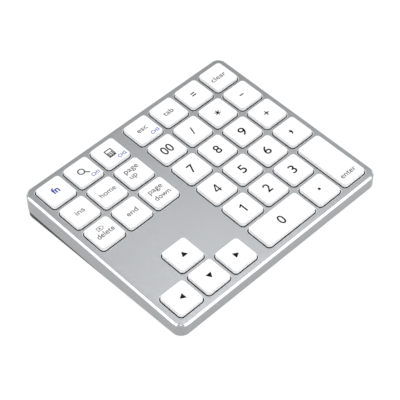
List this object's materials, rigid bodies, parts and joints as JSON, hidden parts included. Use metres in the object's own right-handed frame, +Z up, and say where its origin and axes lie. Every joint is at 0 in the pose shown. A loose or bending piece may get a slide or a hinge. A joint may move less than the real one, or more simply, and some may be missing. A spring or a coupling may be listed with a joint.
{
  "type": "numeric keypad",
  "caption": "Low-profile numeric keypad with white scissor-switch keys in a tilted aluminium shell over a black cover, with navigation and number blocks.",
  "frame": {"origin": "centre of the footprint, on the surface the rubber feet stand on", "axes": "+X to the user's right, +Y away from the user towards the charging port, +Z up; the deck rises 3.06 degrees towards +Y"},
  "size_m": [0.1444, 0.1208, 0.0176],
  "materials": {
    "anodised_aluminium": "fine bead-blasted, clear anodised, with a bright cut chamfer round the top",
    "black_case_plastic": "fine moulded texture",
    "foot_rubber": "matte",
    "module_steel": "black-coated sheet",
    "membrane_film": "black-printed polyester film",
    "dome_silicone": "milky silicone",
    "link_plastic": "natural acetal",
    "spring_wire": "drawn spring wire",
    "circuit_board": "green solder mask",
    "socket_steel": "nickel-plated",
    "component_plastic": "moulded nylon",
    "knob_plastic": "fine moulded texture",
    "light_pipe_plastic": "clear acrylic",
    "battery_pouch": "laminated foil pouch",
    "foam_pad": "double-sided foam tape",
    "lead_insulation": "soft vinyl",
    "screw_steel": "blackened",
    "keycap_plastic": "smooth satin white"
  },
  "bodies": {
    "case": {"top_shell": "anodised_aluminium", "bottom_cover": "black_case_plastic", "rubber_feet": "foot_rubber", "base_plate": "module_steel", "membrane_top_film": "membrane_film", "membrane_spacer_film": "membrane_film", "membrane_bottom_film": "membrane_film", "rubber_domes": "dome_silicone", "scissor_outer_links": "link_plastic", "scissor_inner_links": "link_plastic", "controller_board": "circuit_board", "charging_socket": "socket_steel", "power_switch_body": "component_plastic", "status_light_pipe": "light_pipe_plastic", "membrane_connector": "component_plastic", "battery_plug": "component_plastic", "battery": "battery_pouch", "battery_pad": "foam_pad", "battery_leads": "lead_insulation", "case_screws": "screw_steel", "plate_screws": "screw_steel", "board_screws": "screw_steel"},
    "key_fn": {"keycap_fn": "keycap_plastic"},
    "key_search": {"keycap_search": "keycap_plastic"},
    "key_calculator": {"keycap_calculator": "keycap_plastic"},
    "key_escape": {"keycap_escape": "keycap_plastic"},
    "key_tab": {"keycap_tab": "keycap_plastic"},
    "key_equals": {"keycap_equals": "keycap_plastic"},
    "key_clear": {"keycap_clear": "keycap_plastic"},
    "key_insert": {"keycap_insert": "keycap_plastic"},
    "key_home": {"keycap_home": "keycap_plastic"},
    "key_page_up": {"keycap_page_up": "keycap_plastic"},
    "key_double_zero": {"keycap_double_zero": "keycap_plastic"},
    "key_divide": {"keycap_divide": "keycap_plastic"},
    "key_multiply": {"keycap_multiply": "keycap_plastic"},
    "key_minus": {"keycap_minus": "keycap_plastic"},
    "key_delete": {"keycap_delete": "keycap_plastic"},
    "key_end": {"keycap_end": "keycap_plastic"},
    "key_page_down": {"keycap_page_down": "keycap_plastic"},
    "key_seven": {"keycap_seven": "keycap_plastic"},
    "key_eight": {"keycap_eight": "keycap_plastic"},
    "key_nine": {"keycap_nine": "keycap_plastic"},
    "key_plus": {"keycap_plus": "keycap_plastic"},
    "key_four": {"keycap_four": "keycap_plastic"},
    "key_five": {"keycap_five": "keycap_plastic"},
    "key_six": {"keycap_six": "keycap_plastic"},
    "key_comma": {"keycap_comma": "keycap_plastic"},
    "key_up": {"keycap_up": "keycap_plastic"},
    "key_one": {"keycap_one": "keycap_plastic"},
    "key_two": {"keycap_two": "keycap_plastic"},
    "key_three": {"keycap_three": "keycap_plastic"},
    "key_left": {"keycap_left": "keycap_plastic"},
    "key_down": {"keycap_down": "keycap_plastic"},
    "key_right": {"keycap_right": "keycap_plastic"},
    "key_point": {"keycap_point": "keycap_plastic"},
    "key_zero": {"keycap_zero": "keycap_plastic"},
    "key_enter": {"keycap_enter": "keycap_plastic"},
    "zero_stabiliser": {"zero_stabiliser_wire": "spring_wire"},
    "enter_stabiliser": {"enter_stabiliser_wire": "spring_wire"},
    "power_switch": {"power_switch_knob": "knob_plastic"}
  },
  "joints": [
    {"name": "press_fn", "type": "slide", "parent": "case", "child": "key_fn", "axis": [0, 0.0534, -0.9986], "range_m": [0, 0.0018], "stiffness_N_per_m": 300, "deforming": ["rubber_domes", "scissor_outer_links", "scissor_inner_links"]},
    {"name": "press_search", "type": "slide", "parent": "case", "child": "key_search", "axis": [0, 0.0534, -0.9986], "range_m": [0, 0.0018], "stiffness_N_per_m": 300, "deforming": ["rubber_domes", "scissor_outer_links", "scissor_inner_links"]},
    {"name": "press_calculator", "type": "slide", "parent": "case", "child": "key_calculator", "axis": [0, 0.0534, -0.9986], "range_m": [0, 0.0018], "stiffness_N_per_m": 300, "deforming": ["rubber_domes", "scissor_outer_links", "scissor_inner_links"]},
    {"name": "press_escape", "type": "slide", "parent": "case", "child": "key_escape", "axis": [0, 0.0534, -0.9986], "range_m": [0, 0.0018], "stiffness_N_per_m": 300, "deforming": ["rubber_domes", "scissor_outer_links", "scissor_inner_links"]},
    {"name": "press_tab", "type": "slide", "parent": "case", "child": "key_tab", "axis": [0, 0.0534, -0.9986], "range_m": [0, 0.0018], "stiffness_N_per_m": 300, "deforming": ["rubber_domes", "scissor_outer_links", "scissor_inner_links"]},
    {"name": "press_equals", "type": "slide", "parent": "case", "child": "key_equals", "axis": [0, 0.0534, -0.9986], "range_m": [0, 0.0018], "stiffness_N_per_m": 300, "deforming": ["rubber_domes", "scissor_outer_links", "scissor_inner_links"]},
    {"name": "press_clear", "type": "slide", "parent": "case", "child": "key_clear", "axis": [0, 0.0534, -0.9986], "range_m": [0, 0.0018], "stiffness_N_per_m": 300, "deforming": ["rubber_domes", "scissor_outer_links", "scissor_inner_links"]},
    {"name": "press_insert", "type": "slide", "parent": "case", "child": "key_insert", "axis": [0, 0.0534, -0.9986], "range_m": [0, 0.0018], "stiffness_N_per_m": 300, "deforming": ["rubber_domes", "scissor_outer_links", "scissor_inner_links"]},
    {"name": "press_home", "type": "slide", "parent": "case", "child": "key_home", "axis": [0, 0.0534, -0.9986], "range_m": [0, 0.0018], "stiffness_N_per_m": 300, "deforming": ["rubber_domes", "scissor_outer_links", "scissor_inner_links"]},
    {"name": "press_page_up", "type": "slide", "parent": "case", "child": "key_page_up", "axis": [0, 0.0534, -0.9986], "range_m": [0, 0.0018], "stiffness_N_per_m": 300, "deforming": ["rubber_domes", "scissor_outer_links", "scissor_inner_links"]},
    {"name": "press_double_zero", "type": "slide", "parent": "case", "child": "key_double_zero", "axis": [0, 0.0534, -0.9986], "range_m": [0, 0.0018], "stiffness_N_per_m": 300, "deforming": ["rubber_domes", "scissor_outer_links", "scissor_inner_links"]},
    {"name": "press_divide", "type": "slide", "parent": "case", "child": "key_divide", "axis": [0, 0.0534, -0.9986], "range_m": [0, 0.0018], "stiffness_N_per_m": 300, "deforming": ["rubber_domes", "scissor_outer_links", "scissor_inner_links"]},
    {"name": "press_multiply", "type": "slide", "parent": "case", "child": "key_multiply", "axis": [0, 0.0534, -0.9986], "range_m": [0, 0.0018], "stiffness_N_per_m": 300, "deforming": ["rubber_domes", "scissor_outer_links", "scissor_inner_links"]},
    {"name": "press_minus", "type": "slide", "parent": "case", "child": "key_minus", "axis": [0, 0.0534, -0.9986], "range_m": [0, 0.0018], "stiffness_N_per_m": 300, "deforming": ["rubber_domes", "scissor_outer_links", "scissor_inner_links"]},
    {"name": "press_delete", "type": "slide", "parent": "case", "child": "key_delete", "axis": [0, 0.0534, -0.9986], "range_m": [0, 0.0018], "stiffness_N_per_m": 300, "deforming": ["rubber_domes", "scissor_outer_links", "scissor_inner_links"]},
    {"name": "press_end", "type": "slide", "parent": "case", "child": "key_end", "axis": [0, 0.0534, -0.9986], "range_m": [0, 0.0018], "stiffness_N_per_m": 300, "deforming": ["rubber_domes", "scissor_outer_links", "scissor_inner_links"]},
    {"name": "press_page_down", "type": "slide", "parent": "case", "child": "key_page_down", "axis": [0, 0.0534, -0.9986], "range_m": [0, 0.0018], "stiffness_N_per_m": 300, "deforming": ["rubber_domes", "scissor_outer_links", "scissor_inner_links"]},
    {"name": "press_seven", "type": "slide", "parent": "case", "child": "key_seven", "axis": [0, 0.0534, -0.9986], "range_m": [0, 0.0018], "stiffness_N_per_m": 300, "deforming": ["rubber_domes", "scissor_outer_links", "scissor_inner_links"]},
    {"name": "press_eight", "type": "slide", "parent": "case", "child": "key_eight", "axis": [0, 0.0534, -0.9986], "range_m": [0, 0.0018], "stiffness_N_per_m": 300, "deforming": ["rubber_domes", "scissor_outer_links", "scissor_inner_links"]},
    {"name": "press_nine", "type": "slide", "parent": "case", "child": "key_nine", "axis": [0, 0.0534, -0.9986], "range_m": [0, 0.0018], "stiffness_N_per_m": 300, "deforming": ["rubber_domes", "scissor_outer_links", "scissor_inner_links"]},
    {"name": "press_plus", "type": "slide", "parent": "case", "child": "key_plus", "axis": [0, 0.0534, -0.9986], "range_m": [0, 0.0018], "stiffness_N_per_m": 300, "deforming": ["rubber_domes", "scissor_outer_links", "scissor_inner_links"]},
    {"name": "press_four", "type": "slide", "parent": "case", "child": "key_four", "axis": [0, 0.0534, -0.9986], "range_m": [0, 0.0018], "stiffness_N_per_m": 300, "deforming": ["rubber_domes", "scissor_outer_links", "scissor_inner_links"]},
    {"name": "press_five", "type": "slide", "parent": "case", "child": "key_five", "axis": [0, 0.0534, -0.9986], "range_m": [0, 0.0018], "stiffness_N_per_m": 300, "deforming": ["rubber_domes", "scissor_outer_links", "scissor_inner_links"]},
    {"name": "press_six", "type": "slide", "parent": "case", "child": "key_six", "axis": [0, 0.0534, -0.9986], "range_m": [0, 0.0018], "stiffness_N_per_m": 300, "deforming": ["rubber_domes", "scissor_outer_links", "scissor_inner_links"]},
    {"name": "press_comma", "type": "slide", "parent": "case", "child": "key_comma", "axis": [0, 0.0534, -0.9986], "range_m": [0, 0.0018], "stiffness_N_per_m": 300, "deforming": ["rubber_domes", "scissor_outer_links", "scissor_inner_links"]},
    {"name": "press_up", "type": "slide", "parent": "case", "child": "key_up", "axis": [0, 0.0534, -0.9986], "range_m": [0, 0.0018], "stiffness_N_per_m": 300, "deforming": ["rubber_domes", "scissor_outer_links", "scissor_inner_links"]},
    {"name": "press_one", "type": "slide", "parent": "case", "child": "key_one", "axis": [0, 0.0534, -0.9986], "range_m": [0, 0.0018], "stiffness_N_per_m": 300, "deforming": ["rubber_domes", "scissor_outer_links", "scissor_inner_links"]},
    {"name": "press_two", "type": "slide", "parent": "case", "child": "key_two", "axis": [0, 0.0534, -0.9986], "range_m": [0, 0.0018], "stiffness_N_per_m": 300, "deforming": ["rubber_domes", "scissor_outer_links", "scissor_inner_links"]},
    {"name": "press_three", "type": "slide", "parent": "case", "child": "key_three", "axis": [0, 0.0534, -0.9986], "range_m": [0, 0.0018], "stiffness_N_per_m": 300, "deforming": ["rubber_domes", "scissor_outer_links", "scissor_inner_links"]},
    {"name": "press_left", "type": "slide", "parent": "case", "child": "key_left", "axis": [0, 0.0534, -0.9986], "range_m": [0, 0.0018], "stiffness_N_per_m": 300, "deforming": ["rubber_domes", "scissor_outer_links", "scissor_inner_links"]},
    {"name": "press_down", "type": "slide", "parent": "case", "child": "key_down", "axis": [0, 0.0534, -0.9986], "range_m": [0, 0.0018], "stiffness_N_per_m": 300, "deforming": ["rubber_domes", "scissor_outer_links", "scissor_inner_links"]},
    {"name": "press_right", "type": "slide", "parent": "case", "child": "key_right", "axis": [0, 0.0534, -0.9986], "range_m": [0, 0.0018], "stiffness_N_per_m": 300, "deforming": ["rubber_domes", "scissor_outer_links", "scissor_inner_links"]},
    {"name": "press_point", "type": "slide", "parent": "case", "child": "key_point", "axis": [0, 0.0534, -0.9986], "range_m": [0, 0.0018], "stiffness_N_per_m": 300, "deforming": ["rubber_domes", "scissor_outer_links", "scissor_inner_links"]},
    {"name": "press_zero", "type": "slide", "parent": "case", "child": "key_zero", "axis": [0, 0.0534, -0.9986], "range_m": [0, 0.0018], "stiffness_N_per_m": 300, "deforming": ["rubber_domes", "scissor_outer_links", "scissor_inner_links"]},
    {"name": "press_enter", "type": "slide", "parent": "case", "child": "key_enter", "axis": [0, 0.0534, -0.9986], "range_m": [0, 0.0018], "stiffness_N_per_m": 300, "deforming": ["rubber_domes", "scissor_outer_links", "scissor_inner_links"]},
    {"name": "zero_stabiliser_hinge", "type": "hinge", "parent": "case", "child": "zero_stabiliser", "pos_m": [0.012, -0.05122, 0.00723], "axis": [-1, 0, 0], "range_deg": [0, 10.34]},
    {"name": "enter_stabiliser_hinge", "type": "hinge", "parent": "case", "child": "enter_stabiliser", "pos_m": [0.0631, -0.03814, 0.00793], "axis": [0, -0.9986, -0.0534], "range_deg": [0, 10.34]},
    {"name": "power_switch_slide", "type": "slide", "parent": "case", "child": "power_switch", "axis": [1, 0, 0], "range_m": [0, 0.0025]}
  ],
  "couplings": [
    {"joint": "zero_stabiliser_hinge", "follows": "press_zero", "rad_per_m": 100.15},
    {"joint": "enter_stabiliser_hinge", "follows": "press_enter", "rad_per_m": 100.15}
  ]
}
